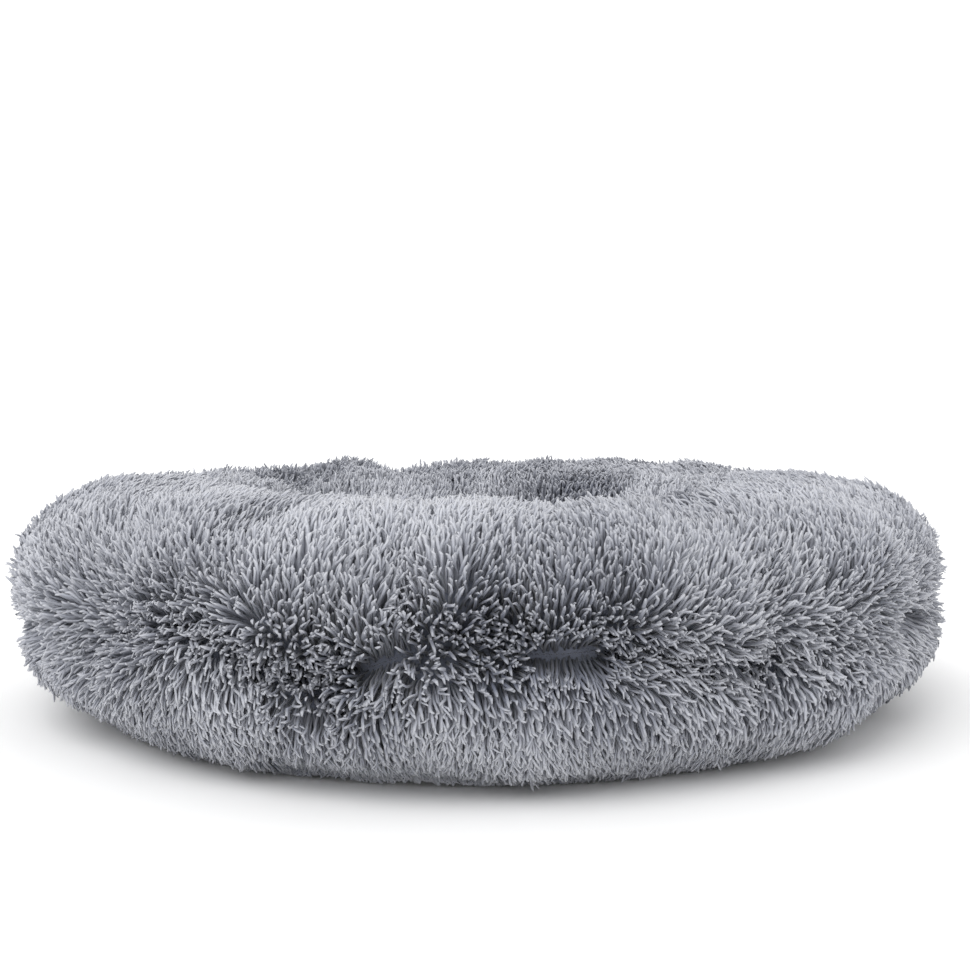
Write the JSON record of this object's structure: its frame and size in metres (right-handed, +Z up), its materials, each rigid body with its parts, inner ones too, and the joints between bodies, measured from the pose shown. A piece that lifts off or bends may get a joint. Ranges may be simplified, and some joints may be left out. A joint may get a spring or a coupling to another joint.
{
  "type": "pet cushion bed",
  "caption": "Round low bed for a cat or dog: a stuffed ring covered in long faux fur round a padded nest, on a woven base with a zip.",
  "frame": {"origin": "centre of the bed at floor level", "axes": "+Z up along the axis of the ring, -Y towards the front, the zip runs along X"},
  "size_m": [0.8, 0.8, 0.19],
  "materials": {
    "rim_fur": "long shaggy faux fur, slate grey with frosted tips",
    "nest_fur": "faux fur of a shorter pile, slate grey with frosted tips",
    "liner_cloth": "thin white nonwoven",
    "fibre": "loose white polyester fibre",
    "base_cloth": "dark plain weave with printed grip dots",
    "tape_cloth": "dark twill tape",
    "coil_plastic": "dark nylon",
    "zip_metal": "gunmetal plating",
    "thread": "grey polyester sewing thread",
    "label_satin": "blank white satin"
  },
  "bodies": {
    "bed": {"rim_cover_top": "rim_fur", "rim_cover_side": "rim_fur", "nest_cover": "nest_fur", "bolster_liner": "liner_cloth", "bolster_fill": "fibre", "pad_liner": "liner_cloth", "pad_fill": "fibre", "base_panel_front": "base_cloth", "base_panel_rear": "base_cloth", "zip_tape_front": "tape_cloth", "zip_tape_rear": "tape_cloth", "zip_coil_front": "coil_plastic", "zip_coil_rear": "coil_plastic", "zip_top_stop_front": "zip_metal", "zip_top_stop_rear": "zip_metal", "zip_bottom_stop": "zip_metal", "side_seam_thread": "thread", "base_seam_thread": "thread", "nest_seam_thread": "thread", "care_label": "label_satin"},
    "slider": {"zip_slider": "zip_metal"},
    "pull": {"zip_pull": "zip_metal"}
  },
  "joints": [
    {"name": "zip_run", "type": "slide", "parent": "bed", "child": "slider", "axis": [-1, 0, 0], "range_m": [0, 0.322]},
    {"name": "pull_swing", "type": "hinge", "parent": "slider", "child": "pull", "pos_m": [0.1612, 0, 0.0052], "axis": [0, -1, 0], "range_deg": [-10, 165]}
  ]
}
